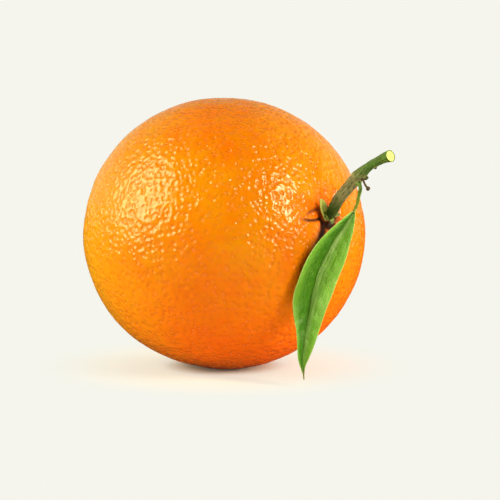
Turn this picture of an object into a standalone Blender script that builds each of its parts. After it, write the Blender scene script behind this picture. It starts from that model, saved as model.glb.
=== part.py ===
"""An orange as picked, with its calyx, a short length of cut twig and one leaf.

The fruit rests on a small flat spot at z = 0, straight below its middle, and that spot is the
origin. +Z is up, +X is the side that the stem end leans to, and -Y is the side that the leaf
hangs on. Lengths are in millimetres in this file, and become metres as each mesh is made.
"""

import math

import bmesh
import bpy
import numpy as np

MM = 0.001

# Fruit: a spheroid a little longer from stem end to blossom end than it is across.
FRUIT_CENTRE = np.array([0.0, 0.0, 37.4])
GIRTH_RADIUS = 38.0
AXIS_HALF_LENGTH = 40.8
STEM_END_TURN = -40.7
STEM_END_RISE = 12.4
FRUIT_RINGS = 38
FRUIT_SEGMENTS = 60

# The fruit is not quite even: fuller low on the stem side, and faintly three-sided.
LOW_FULLNESS = 0.011
THREE_SIDEDNESS = 0.002

# Hollow round the calyx in a wide shallow dish, with soft folds, and the scar at the far end.
HOLLOW_DEPTH = 1.7
HOLLOW_REACH = 5.5
DISH_DEPTH = 1.1
DISH_REACH = 14.0
FOLD_HEIGHT = 0.30
FOLD_COUNT = 7
FOLD_PHASE = 0.6
SCAR_DEPTH = 0.7
SCAR_REACH = 3.0
FOOT_SNAP = 0.12

# Calyx: a button with five lobes that stand off the peel.
GAP = 0.35
BUTTON_RADIUS = 2.4
BUTTON_THICKNESS = 1.0
LOBE_EDGE_THICKNESS = 0.45
LOBE_ANGLES = (38.0, 106.0, 186.0, 262.0, 326.0)
LOBE_LENGTHS = (4.0, 0.9, 0.8, 1.8, 1.6)
LOBE_LIFTS = (0.55, 0.2, 0.2, 0.6, 0.4)
LOBE_WIDTH = 15.0
CALYX_SEGMENTS = 60
CALYX_RINGS = 6

# Twig: a woody lower half, a swollen node, and a thinner green half that ends in a cut.
STEM_ROUTE = (
    (30.2, -27.7, 48.2),
    (31.6, -29.6, 50.8),
    (34.4, -31.8, 54.6),
    (36.4, -33.5, 57.0),
    (39.2, -35.8, 59.8),
    (42.6, -38.6, 62.0),
    (44.5, -40.5, 62.9),
)
STEM_RADII = (2.10, 1.80, 1.70, 1.70, 1.85, 1.30, 1.25, 1.60)
STEM_SIDES = 16
STEM_STEPS = 26
STEM_SEAT_STEPS = 3.0
NODE_PLACE = 0.52

# Leaf stalk and blade.
STALK_RADIUS = 0.50
STALK_SIDES = 10
STALK_LEAN = (0.1, -0.35, -0.9)
STALK_STEPS = 12
STALK_FOOT_RISE = 1.5
STALK_FLARE = 0.5
STALK_FLARE_SHARE = 0.12
STALK_ROUTE = ((36.4, -33.2, 51.2), (36.1, -32.0, 49.3), (35.6, -30.6, 47.8))
MIDRIB_ROUTE = (
    (35.5, -30.4, 47.4),
    (32.7, -30.4, 43.4),
    (29.8, -30.6, 39.4),
    (27.4, -30.8, 35.1),
    (25.4, -31.0, 30.6),
    (24.2, -31.2, 25.8),
    (23.3, -31.6, 20.9),
    (22.4, -32.5, 16.2),
    (21.7, -34.0, 11.4),
    (21.3, -34.6, 6.5),
    (21.9, -35.2, 2.0),
)
BLADE_HALF_WIDTH = 7.0
BLADE_TAPER = 0.80
BLADE_THICKNESS = 0.45
BLADE_FOLD = 42.0
BLADE_CURL = 12.0
BLADE_TURN = -16.0
BLADE_TWIST = 17.0
TWIST_PLACE = 0.58
TWIST_SPREAD = 0.17
BLADE_STEPS = 30
BLADE_COLUMNS = 4
LEAF_FACES = np.array([0.0, -1.0, 0.12])

# Small growths on the twig: a dry spur with a swollen tip, and two buds.
SPUR_PLACE = 0.59
SPUR_LENGTH = 3.4
SPUR_RADIUS = 0.30
SPUR_TIP_RADIUS = 0.52
SPUR_LEAN = (0.42, -0.55, -0.72)
SPUR_OUTWARD_SHARE = 0.6
SPUR_TIP_PLACE = 0.86
SPUR_TIP_SPREAD = 0.14
SPUR_STEPS = 12
LOWER_BUD_PLACE = 0.61
LOWER_BUD_SIZE = (1.5, 0.65)
LOWER_BUD_LEAN = (0.6, -0.2, -0.8)
UPPER_BUD_PLACE = 0.78
UPPER_BUD_SIZE = (0.75, 0.40)
UPPER_BUD_LEAN = (0.3, -0.2, -0.9)
BUD_SIDES = 12
BUD_RINGS = 6

ROUTE_FINENESS = 20
SHARP_EDGE_ANGLE = 40.0


def unit(vector):
    """The vector at length 1."""
    vector = np.asarray(vector, dtype=float)
    return vector / np.linalg.norm(vector)


def stem_end_axis():
    """Unit vector from the middle of the fruit towards its stem end."""
    turn = math.radians(STEM_END_TURN)
    rise = math.radians(STEM_END_RISE)
    return np.array([math.cos(rise) * math.cos(turn), math.cos(rise) * math.sin(turn), math.sin(rise)])


AXIS = stem_end_axis()
ACROSS_UP = unit(np.array([0.0, 0.0, 1.0]) - AXIS[2] * AXIS)
ACROSS_SIDE = np.cross(AXIS, ACROSS_UP)


def on_fruit_axes(side, up, along):
    """Point given across and along the fruit's own axis, in the frame of the part."""
    return FRUIT_CENTRE + side * ACROSS_SIDE + up * ACROSS_UP + along * AXIS


def smooth_route(points, steps):
    """Points along a smooth curve (Catmull-Rom) through the given points, evenly spaced."""
    knots = np.array(points, dtype=float)
    knots = np.vstack([2 * knots[0] - knots[1], knots, 2 * knots[-1] - knots[-2]])
    fine = []
    for before, start, end, after in zip(knots, knots[1:], knots[2:], knots[3:]):
        for u in np.linspace(0.0, 1.0, ROUTE_FINENESS, endpoint=False):
            fine.append(0.5 * (2 * start + (end - before) * u
                               + (2 * before - 5 * start + 4 * end - after) * u ** 2
                               + (3 * start - before - 3 * end + after) * u ** 3))
    fine = np.array(fine + [knots[-2]])
    travelled = np.concatenate([[0.0], np.cumsum(np.linalg.norm(np.diff(fine, axis=0), axis=1))])
    wanted = np.linspace(0.0, travelled[-1], steps + 1)
    return np.column_stack([np.interp(wanted, travelled, fine[:, k]) for k in range(3)])


def directions_along(route):
    """Unit direction of the route at each of its points."""
    return np.array([unit(step) for step in np.gradient(route, axis=0)])


def material(name, colour, roughness):
    """Principled material with one colour and roughness."""
    made = bpy.data.materials.new(name)
    made.use_nodes = True
    shader = made.node_tree.nodes["Principled BSDF"]
    shader.inputs["Base Color"].default_value = (*colour, 1.0)
    shader.inputs["Roughness"].default_value = roughness
    shader.inputs["Metallic"].default_value = 0.0
    return made


def add_object(name, mesh_builder, finish):
    """Turn a finished bmesh, in millimetres, into a named object in metres."""
    bmesh.ops.scale(mesh_builder, vec=(MM, MM, MM), verts=mesh_builder.verts)
    bmesh.ops.recalc_face_normals(mesh_builder, faces=mesh_builder.faces)
    mesh = bpy.data.meshes.new(name)
    mesh_builder.to_mesh(mesh)
    mesh_builder.free()
    mesh.shade_smooth()
    mesh.set_sharp_from_angle(angle=math.radians(SHARP_EDGE_ANGLE))
    mesh.materials.append(finish)
    made = bpy.data.objects.new(name, mesh)
    bpy.context.scene.collection.objects.link(made)
    return made


def loft(rings, start_point, end_point):
    """Closed skin over rings of points, gathered to one point at each end."""
    builder = bmesh.new()
    loops = [[builder.verts.new(point) for point in ring] for ring in rings]
    for near, far in zip(loops, loops[1:]):
        count = len(near)
        for k in range(count):
            builder.faces.new((near[k], near[(k + 1) % count], far[(k + 1) % count], far[k]))
    for loop, point in ((loops[0], start_point), (loops[-1], end_point)):
        tip = builder.verts.new(point)
        count = len(loop)
        for k in range(count):
            builder.faces.new((loop[k], loop[(k + 1) % count], tip))
    return builder


def tube_rings(route, radii, sides, directions=None):
    """Round rings along a route, each turned only as far as the route itself turns."""
    if directions is None:
        directions = directions_along(route)
    across = unit(np.cross(directions[0], (0.0, 0.0, 1.0)))
    rings = []
    for point, direction, radius in zip(route, directions, radii):
        across = unit(across - np.dot(across, direction) * direction)
        beside = np.cross(direction, across)
        angles = np.linspace(0.0, 2 * math.pi, sides, endpoint=False)
        rings.append([point + radius * (math.cos(a) * across + math.sin(a) * beside) for a in angles])
    return rings


def peel_along(distance, angle):
    """Height of the peel along the fruit's axis near the stem end, at a distance from the axis."""
    round_height = AXIS_HALF_LENGTH * math.sqrt(max(0.0, 1.0 - (distance / GIRTH_RADIUS) ** 2))
    reach = (distance / HOLLOW_REACH) ** 2
    hollow = HOLLOW_DEPTH * math.exp(-reach) + DISH_DEPTH * math.exp(-(distance / DISH_REACH) ** 2)
    folds = FOLD_HEIGHT * math.cos(FOLD_COUNT * angle + FOLD_PHASE) * reach * math.exp(-reach)
    return round_height - hollow + folds


def peel_point(polar, angle):
    """Point of the peel at an angle from the stem end and an angle round the axis."""
    distance = GIRTH_RADIUS * math.sin(polar)
    if polar < math.pi / 2:
        along = peel_along(distance, angle)
    else:
        along = AXIS_HALF_LENGTH * math.cos(polar)
        along += SCAR_DEPTH * math.exp(-(distance / SCAR_REACH) ** 2)
    even = on_fruit_axes(distance * math.sin(angle), distance * math.cos(angle), along) - FRUIT_CENTRE
    facing = unit(even)
    uneven = THREE_SIDEDNESS * math.cos(3 * angle) - 2 * LOW_FULLNESS * facing[0] * facing[2]
    return FRUIT_CENTRE + even * (1.0 + uneven * math.sin(polar) ** 2)


def make_fruit():
    """The fruit: rings round its axis, closed at both ends, with the resting spot cut flat."""
    polars = np.linspace(0.0, math.pi, FRUIT_RINGS + 1)[1:-1]
    angles = np.linspace(0.0, 2 * math.pi, FRUIT_SEGMENTS, endpoint=False)
    rings = [[peel_point(polar, angle) for angle in angles] for polar in polars]
    builder = loft(rings, peel_point(0.0, 0.0), peel_point(math.pi, 0.0))
    for vertex in builder.verts:
        if abs(vertex.co.z) < FOOT_SNAP:
            vertex.co.z = 0.0
    cut = bmesh.ops.bisect_plane(
        builder, geom=builder.verts[:] + builder.edges[:] + builder.faces[:], dist=1e-4,
        plane_co=(0.0, 0.0, 0.0), plane_no=(0.0, 0.0, -1.0), clear_outer=True)
    rim = [item for item in cut["geom_cut"] if isinstance(item, bmesh.types.BMEdge)]
    bmesh.ops.contextual_create(builder, geom=[edge for edge in rim if edge.is_boundary])
    return add_object("fruit", builder, material("orange_peel", (0.90, 0.28, 0.01), 0.38))


def lobe_share(angle, lobe):
    """How far an angle round the calyx lies in one lobe, from 0 outside it to 1 at its tip."""
    away = (math.degrees(angle) - LOBE_ANGLES[lobe] + 180.0) % 360.0 - 180.0
    return math.exp(-(away / LOBE_WIDTH) ** 2)


def make_calyx():
    """The calyx: a thick button, thinner in its five lobes, which rise off the peel at their tips."""
    angles = np.linspace(0.0, 2 * math.pi, CALYX_SEGMENTS, endpoint=False)
    lower, upper = [], []
    for share in np.linspace(0.0, 1.0, CALYX_RINGS + 1)[1:]:
        under, over = [], []
        for angle in angles:
            length = sum(size * lobe_share(angle, k) for k, size in enumerate(LOBE_LENGTHS))
            lift = sum(rise * lobe_share(angle, k) for k, rise in enumerate(LOBE_LIFTS))
            distance = share * (BUTTON_RADIUS + length)
            thickness = BUTTON_THICKNESS + share * (LOBE_EDGE_THICKNESS - BUTTON_THICKNESS)
            seat = peel_along(distance, angle) + GAP + lift * share ** 2
            side, up = distance * math.sin(angle), distance * math.cos(angle)
            under.append(on_fruit_axes(side, up, seat))
            over.append(on_fruit_axes(side, up, seat + thickness))
        lower.append(under)
        upper.append(over)
    middle = peel_along(0.0, 0.0) + GAP
    builder = loft(lower + upper[::-1], on_fruit_axes(0.0, 0.0, middle),
                   on_fruit_axes(0.0, 0.0, middle + BUTTON_THICKNESS))
    return add_object("calyx", builder, material("calyx_green", (0.20, 0.25, 0.05), 0.55))


def stem_foot():
    """Middle of the twig's lower end, a gap above the button."""
    return on_fruit_axes(0.0, 0.0, peel_along(0.0, 0.0) + GAP + BUTTON_THICKNESS + GAP)


def stem_line():
    """Middle line of the twig, and its radius at each point."""
    route = smooth_route((stem_foot(), *STEM_ROUTE), STEM_STEPS)
    places = np.linspace(0.0, 1.0, len(STEM_RADII))
    radii = np.interp(np.linspace(0.0, 1.0, STEM_STEPS + 1), places, STEM_RADII)
    return route, radii


def make_stem():
    """The twig: a tube of changing thickness, closed by flat ends, the lower one square to the button."""
    route, radii = stem_line()
    seated = np.exp(-(np.arange(STEM_STEPS + 1) / STEM_SEAT_STEPS) ** 2)[:, None]
    directions = seated * AXIS + (1.0 - seated) * directions_along(route)
    rings = tube_rings(route, radii, STEM_SIDES, [unit(direction) for direction in directions])
    builder = loft(rings, route[0], route[-1])
    return add_object("stem", builder, material("twig_bark", (0.11, 0.12, 0.03), 0.6))


def on_stem(place, lean, clearance):
    """Point just off the side of the twig at a share of its length, on the side that lean points to."""
    route, radii = stem_line()
    index = place * STEM_STEPS
    shares = np.arange(STEM_STEPS + 1)
    middle = np.array([np.interp(index, shares, route[:, k]) for k in range(3)])
    direction = directions_along(route)[int(round(index))]
    lean = np.asarray(lean, dtype=float)
    outward = unit(lean - np.dot(lean, direction) * direction)
    return middle + (np.interp(index, shares, radii) + clearance) * outward, outward


def make_stalk():
    """The leaf stalk: a thin tube from the underside of the node to the foot of the blade."""
    foot, outward = on_stem(NODE_PLACE, STALK_LEAN, GAP)
    route = smooth_route((foot, foot + STALK_FOOT_RISE * outward, *STALK_ROUTE), STALK_STEPS)
    shares = np.linspace(0.0, 1.0, STALK_STEPS + 1)
    radii = STALK_RADIUS * (1.0 + STALK_FLARE * np.exp(-(shares / STALK_FLARE_SHARE) ** 2))
    builder = loft(tube_rings(route, radii, STALK_SIDES), route[0], route[-1])
    return add_object("leaf_stalk", builder, material("stalk_green", (0.15, 0.25, 0.03), 0.5))


def blade_half_width(share):
    """Half width of the blade at a share of its length: widest before the middle, then a long taper."""
    return BLADE_HALF_WIDTH * math.sin(math.pi * share ** BLADE_TAPER)


def blade_section(point, direction, share):
    """Points across the blade from the left edge to the right one, folded up along the midrib."""
    facing = unit(LEAF_FACES - np.dot(LEAF_FACES, direction) * direction)
    right = np.cross(facing, direction)
    if right[0] < 0:
        right = -right
    twist = BLADE_TURN + BLADE_TWIST * math.exp(-((share - TWIST_PLACE) / TWIST_SPREAD) ** 2)
    half_width = blade_half_width(share)
    step = half_width / BLADE_COLUMNS
    halves = []
    for side in (-1.0, 1.0):
        rise = BLADE_FOLD + side * twist
        place = np.zeros(3)
        half = []
        for column in range(BLADE_COLUMNS):
            bend = BLADE_CURL * (1.0 - 2.0 * (column + 0.5) / BLADE_COLUMNS)
            slope = math.radians(rise + bend)
            place = place + step * (side * math.cos(slope) * right + math.sin(slope) * facing)
            half.append(point + place)
        halves.append(half)
    return halves[0][::-1] + [point] + halves[1], facing


def make_blade():
    """The leaf blade: one thin closed sheet, folded along its midrib and drawn to a dry point."""
    route = smooth_route(MIDRIB_ROUTE, BLADE_STEPS + 2)
    directions = directions_along(route)
    rings = []
    for k in range(1, BLADE_STEPS + 2):
        section, facing = blade_section(route[k], directions[k], k / (BLADE_STEPS + 2))
        back = [point - BLADE_THICKNESS * facing for point in section[::-1]]
        rings.append(section + back)
    half_back = 0.5 * BLADE_THICKNESS * LEAF_FACES
    builder = loft(rings, route[0] - half_back, route[-1] - half_back)
    return add_object("leaf_blade", builder, material("leaf_green", (0.13, 0.33, 0.03), 0.35))


def make_spur():
    """The dry spur: a thin stalk with a swollen tip, below the node."""
    foot, outward = on_stem(SPUR_PLACE, SPUR_LEAN, GAP)
    lean = unit(np.array(SPUR_LEAN) + SPUR_OUTWARD_SHARE * outward)
    shares = np.linspace(0.0, 1.0, SPUR_STEPS + 1)
    route = foot + SPUR_LENGTH * shares[:, None] * lean
    swell = np.exp(-((shares - SPUR_TIP_PLACE) / SPUR_TIP_SPREAD) ** 2)
    radii = SPUR_RADIUS + (SPUR_TIP_RADIUS - SPUR_RADIUS) * swell
    builder = loft(tube_rings(route, radii, STALK_SIDES), route[0], route[-1])
    return add_object("dry_spur", builder, material("dry_brown", (0.06, 0.03, 0.015), 0.75))


def make_bud(name, place, size, lean):
    """A bud: a small egg that sits on the twig, longer along the twig than it stands off it."""
    length, radius = size
    route, _ = stem_line()
    along = directions_along(route)[int(round(place * STEM_STEPS))]
    middle, outward = on_stem(place, lean, GAP + radius)
    beside = np.cross(along, outward)
    rings = []
    for polar in np.linspace(0.0, math.pi, BUD_RINGS + 2)[1:-1]:
        ring = []
        for angle in np.linspace(0.0, 2 * math.pi, BUD_SIDES, endpoint=False):
            reach = radius * math.sin(polar)
            ring.append(middle + 0.5 * length * math.cos(polar) * along
                        + reach * (math.cos(angle) * outward + math.sin(angle) * beside))
        rings.append(ring)
    builder = loft(rings, middle + 0.5 * length * along, middle - 0.5 * length * along)
    return add_object(name, builder, material(name + "_scale", (0.09, 0.08, 0.02), 0.6))


def main():
    """Clear the scene and make each piece of the orange."""
    for old in list(bpy.data.objects):
        bpy.data.objects.remove(old, do_unlink=True)
    make_fruit()
    make_calyx()
    make_stem()
    make_stalk()
    make_blade()
    make_spur()
    make_bud("bud_lower", LOWER_BUD_PLACE, LOWER_BUD_SIZE, LOWER_BUD_LEAN)
    make_bud("bud_upper", UPPER_BUD_PLACE, UPPER_BUD_SIZE, UPPER_BUD_LEAN)


main()
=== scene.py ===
"""Looks of an orange with its calyx, cut twig and one hanging leaf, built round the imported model.

Sizes are in millimetres in every class, and become metres as a mesh is made. +Z is up, the fruit
rests on z = 0, its stem end leans to +X, and the leaf hangs on the -Y side, where the camera is.
"""

from __future__ import annotations

import logging
import math
from dataclasses import dataclass, field
from enum import Enum

import bpy
import numpy as np
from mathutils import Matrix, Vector

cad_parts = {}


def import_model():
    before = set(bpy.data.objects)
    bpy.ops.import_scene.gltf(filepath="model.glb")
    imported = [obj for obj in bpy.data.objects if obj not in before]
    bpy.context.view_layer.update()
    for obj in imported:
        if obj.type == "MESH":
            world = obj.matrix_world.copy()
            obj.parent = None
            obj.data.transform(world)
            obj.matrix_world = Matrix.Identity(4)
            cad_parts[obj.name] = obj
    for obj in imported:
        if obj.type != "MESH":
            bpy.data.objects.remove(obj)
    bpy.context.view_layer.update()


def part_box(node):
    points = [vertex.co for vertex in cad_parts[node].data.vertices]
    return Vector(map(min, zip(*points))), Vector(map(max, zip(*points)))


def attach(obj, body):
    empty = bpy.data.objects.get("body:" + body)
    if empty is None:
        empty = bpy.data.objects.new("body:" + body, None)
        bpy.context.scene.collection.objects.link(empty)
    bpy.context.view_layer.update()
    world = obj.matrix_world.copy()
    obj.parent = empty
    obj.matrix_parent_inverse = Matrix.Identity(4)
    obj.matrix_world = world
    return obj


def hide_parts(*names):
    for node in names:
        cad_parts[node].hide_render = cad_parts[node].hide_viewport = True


MM = 0.001
ROOT_BODY = "root"
Triple = tuple[float, float, float]
Socket = bpy.types.NodeSocket
log = logging.getLogger("orange")


# ---------------------------------------------------------------- vectors, routes and noise

def unit(vectors: np.ndarray) -> np.ndarray:
    """Scale each vector of the last axis to length 1."""
    vectors = np.asarray(vectors, dtype=float)
    return vectors / np.maximum(np.linalg.norm(vectors, axis=-1, keepdims=True), 1e-12)


def smoothstep(low: float, high: float, value: np.ndarray) -> np.ndarray:
    """Rise from 0 at low to 1 at high, level at both ends."""
    share = np.clip((value - low) / (high - low), 0.0, 1.0)
    return share * share * (3.0 - 2.0 * share)


def bell(value: np.ndarray, middle: float, width: float) -> np.ndarray:
    """Gaussian hump: 1 at the middle, falling to 1/e at one width away."""
    return np.exp(-((value - middle) / width) ** 2)


def smooth_route(points: tuple, steps: int) -> np.ndarray:
    """Evenly spaced points on a Catmull-Rom curve.

    Formula: between two knots the curve is the cubic whose end slopes are half the step from the
    knot before to the knot after. The fine curve is then read at equal distances.

    Args:
        points: the knots that the curve goes through.
        steps: how many equal steps to cut it into.

    Returns:
        Array of steps + 1 points.
    """
    knots = np.array(points, dtype=float)
    knots = np.vstack([2 * knots[0] - knots[1], knots, 2 * knots[-1] - knots[-2]])
    before, start, end, after = (knots[k:len(knots) - 3 + k, None, :] for k in range(4))
    u = np.linspace(0.0, 1.0, 40, endpoint=False)[None, :, None]
    fine = 0.5 * (2 * start + (end - before) * u
                  + (2 * before - 5 * start + 4 * end - after) * u ** 2
                  + (3 * start - before - 3 * end + after) * u ** 3)
    fine = np.vstack([fine.reshape(-1, 3), knots[-2]])
    travelled = np.concatenate([[0.0], np.cumsum(np.linalg.norm(np.diff(fine, axis=0), axis=1))])
    wanted = np.linspace(0.0, travelled[-1], steps + 1)
    return np.column_stack([np.interp(wanted, travelled, fine[:, k]) for k in range(3)])


def cell_random(cells: np.ndarray, seed: int) -> np.ndarray:
    """Three repeatable numbers from 0 to 1 for each whole-numbered cell.

    Formula: the three cell numbers are multiplied by odd constants and folded together, then the
    bits are stirred by shifts and products, in 32-bit whole numbers.

    Args:
        cells: array (..., 3) of whole numbers.
        seed: picks another set of numbers.

    Returns:
        Array (..., 3) of numbers from 0 to 1.
    """
    key = cells.astype(np.int64).astype(np.uint32)
    mixed = key[..., 0] * np.uint32(0x8DA6B343) ^ key[..., 1] * np.uint32(0xD8163841)
    mixed ^= key[..., 2] * np.uint32(0xCB1AB31F) ^ np.uint32((seed * 2654435761) & 0xFFFFFFFF)
    parts = []
    for _ in range(3):
        mixed ^= mixed >> np.uint32(15)
        mixed *= np.uint32(0x2C1B3C6D)
        mixed ^= mixed >> np.uint32(12)
        mixed *= np.uint32(0x297A2D39)
        mixed ^= mixed >> np.uint32(15)
        parts.append(mixed.astype(float) / 2.0 ** 32)
    return np.stack(parts, axis=-1)


def nearest_seed(points: np.ndarray, pitch: float, seed: int, scatter: float = 0.9) -> np.ndarray:
    """Distance from each point to the nearest and second nearest of a scatter of seeds.

    Formula: space is cut into cubes of side pitch with one seed at a random place in each, and
    every point is measured against the seeds of its own cube and the 26 round it.

    Args:
        points: array (n, 3) in millimetres.
        pitch: mean spacing of the seeds.
        seed: picks another scatter.
        scatter: 0 puts each seed in the middle of its cube, 1 anywhere in it.

    Returns:
        Array (n, 2) of distances, as shares of the pitch.
    """
    scaled = points / pitch
    home = np.floor(scaled)
    nearest = np.full(len(points), 9.0)
    second = np.full(len(points), 9.0)
    for step in np.ndindex(3, 3, 3):
        cell = home + (np.array(step) - 1.0)
        place = cell + 0.5 + scatter * (cell_random(cell, seed) - 0.5)
        away = np.linalg.norm(scaled - place, axis=1)
        second = np.minimum(second, np.maximum(nearest, away))
        nearest = np.minimum(nearest, away)
    return np.column_stack([nearest, second])


def rolling(points: np.ndarray, size: float, seed: int, layers: int = 1) -> np.ndarray:
    """Smooth random hills and hollows between -1 and 1.

    Formula: random heights at the corners of cubes of the given size, blended by smoothstep
    weights along the three axes. Each further layer is half as large and half as high.

    Args:
        points: array (n, 3) in millimetres.
        size: width of a hill.
        seed: picks other hills.
        layers: how many sizes of hill are added.

    Returns:
        Array of n heights.
    """
    total = np.zeros(len(points))
    for layer in range(layers):
        scaled = points / (size * 0.5 ** layer)
        home = np.floor(scaled)
        share = scaled - home
        share = share * share * (3.0 - 2.0 * share)
        height = np.zeros(len(points))
        for corner in np.ndindex(2, 2, 2):
            pick = np.array(corner, dtype=float)
            weight = np.prod(np.where(pick > 0, share, 1.0 - share), axis=1)
            height += weight * (2.0 * cell_random(home + pick, seed + 17 * layer)[:, 0] - 1.0)
        total += height * 0.5 ** layer
    return total


# ---------------------------------------------------------------- meshes

@dataclass
class Surface:
    """Points and faces of one piece while it is made, with the values that its finish reads.

    Attributes:
        points: array (n, 3) in millimetres.
        faces: list of arrays of point numbers, each array (m, 3) or (m, 4).
        values: one array of n numbers for each named value.
    """

    points: np.ndarray
    faces: list[np.ndarray]
    values: dict[str, np.ndarray] = field(default_factory=dict)

    def joined(self, other: "Surface") -> "Surface":
        """Put another surface with the same value names beside this one, as one piece.

        Args:
            other: the other surface.

        Returns:
            Both as one surface.
        """
        shift = len(self.points)
        values = {name: np.concatenate([kept, other.values[name]])
                  for name, kept in self.values.items()}
        return Surface(np.vstack([self.points, other.points]),
                       self.faces + [face + shift for face in other.faces], values)

    def make(self, name: str, finish: "Finish", slot: str,
             nodes: tuple[str, ...]) -> bpy.types.Object:
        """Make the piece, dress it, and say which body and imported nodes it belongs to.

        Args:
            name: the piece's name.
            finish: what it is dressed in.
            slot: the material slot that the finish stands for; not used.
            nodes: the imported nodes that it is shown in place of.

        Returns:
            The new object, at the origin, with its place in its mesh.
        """
        mesh = bpy.data.meshes.new(name)
        faces = [face for group in self.faces for face in group.tolist()]
        mesh.from_pydata((self.points * MM).tolist(), [], faces)
        for value_name, values in self.values.items():
            stored = mesh.attributes.new(value_name, "FLOAT", "POINT")
            stored.data.foreach_set("value", np.asarray(values, dtype=np.float32))
        mesh.shade_smooth()
        mesh.materials.append(finish.material())
        piece = in_scene(name, mesh)
        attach(piece, ROOT_BODY)
        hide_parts(*nodes)
        report(name, self, nodes)
        return piece


def in_scene(name: str, data: bpy.types.ID) -> bpy.types.Object:
    """Put a new object in the scene.

    Args:
        name: the object's name.
        data: its mesh, lamp or camera.

    Returns:
        The object.
    """
    made = bpy.data.objects.new(name, data)
    bpy.context.scene.collection.objects.link(made)
    return made


def report(name: str, surface: Surface, nodes: tuple[str, ...]) -> None:
    """Log a piece's triangles and how far its box lies from that of the nodes it stands for.

    Args:
        name: the piece's name.
        surface: its points and faces.
        nodes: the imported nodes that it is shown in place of.
    """
    triangles = sum(len(group) * (group.shape[1] - 2) for group in surface.faces)
    boxes = np.array([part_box(node) for node in nodes], dtype=float) / MM
    low, high = boxes[:, 0].min(axis=0), boxes[:, 1].max(axis=0)
    apart = max(np.abs(surface.points.min(axis=0) - low).max(),
                np.abs(surface.points.max(axis=0) - high).max())
    log.info("%s: %d triangles, box within %.1f mm of %s", name, triangles, apart,
             ", ".join(nodes))


def loft_surface(rings: np.ndarray, first: np.ndarray, last: np.ndarray, last_values: dict,
                 **layers: object) -> Surface:
    """Skin over rings of points, gathered to one point at each end.

    Formula: point k of each ring is joined to point k of the next, the last point of a ring to
    its first, and both end rings to their pole. Rings that run anticlockwise as seen from ahead
    of the route give faces that point outwards.

    Args:
        rings: array (rows, columns, 3).
        first: the pole before the first ring.
        last: the pole after the last ring.
        last_values: value of a layer at the last pole, where it isn't 0 as at the first.
        layers: named values of the rings' points, or of their rows or columns alone.

    Returns:
        The closed surface, whose values are the layers.
    """
    rows, columns = rings.shape[:2]
    number = np.arange(rows * columns).reshape(rows, columns)
    beside = np.roll(number, -1, axis=1)
    quads = np.stack([number[:-1], beside[:-1], beside[1:], number[1:]], axis=-1).reshape(-1, 4)
    first_pole = np.full(columns, rows * columns)
    start = np.stack([beside[0], number[0], first_pole], axis=-1)
    end = np.stack([number[-1], beside[-1], first_pole + 1], axis=-1)
    points = np.vstack([rings.reshape(-1, 3), first, last])
    values = {}
    for name, layer in layers.items():
        poles = [0.0, last_values.get(name, 0.0)]
        values[name] = np.append(np.broadcast_to(layer, number.shape), poles)
    return Surface(points, [quads, np.vstack([start, end])], values)


def wrapped(front: np.ndarray, back: np.ndarray) -> np.ndarray:
    """Rings round a thin sheet: across its front, then back across its other side."""
    return np.concatenate([front, back[:, ::-1]], axis=1)


def round_route(angle: np.ndarray, across: np.ndarray, beside: np.ndarray) -> np.ndarray:
    """Directions out of a route at the given angles, array (rows, columns, 3)."""
    angle = angle[..., None]
    return np.cos(angle) * across[:, None, :] + np.sin(angle) * beside[:, None, :]


def route_axes(route: np.ndarray, directions: np.ndarray | None = None) -> tuple[np.ndarray, ...]:
    """Directions along, across and beside a route, turned no more than the route turns.

    Args:
        route: array (n, 3).
        directions: unit directions at its points, where they aren't simply those of the route.

    Returns:
        Three arrays (n, 3) of unit vectors: along, across and beside.
    """
    along = unit(np.gradient(route, axis=0)) if directions is None else unit(directions)
    across = np.empty_like(along)
    across[0] = unit(np.cross(along[0], (0.0, 0.0, 1.0)))
    for k in range(1, len(route)):
        across[k] = unit(across[k - 1] - np.dot(across[k - 1], along[k]) * along[k])
    return along, across, np.cross(along, across)


# ---------------------------------------------------------------- node sheets and shared effects

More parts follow.
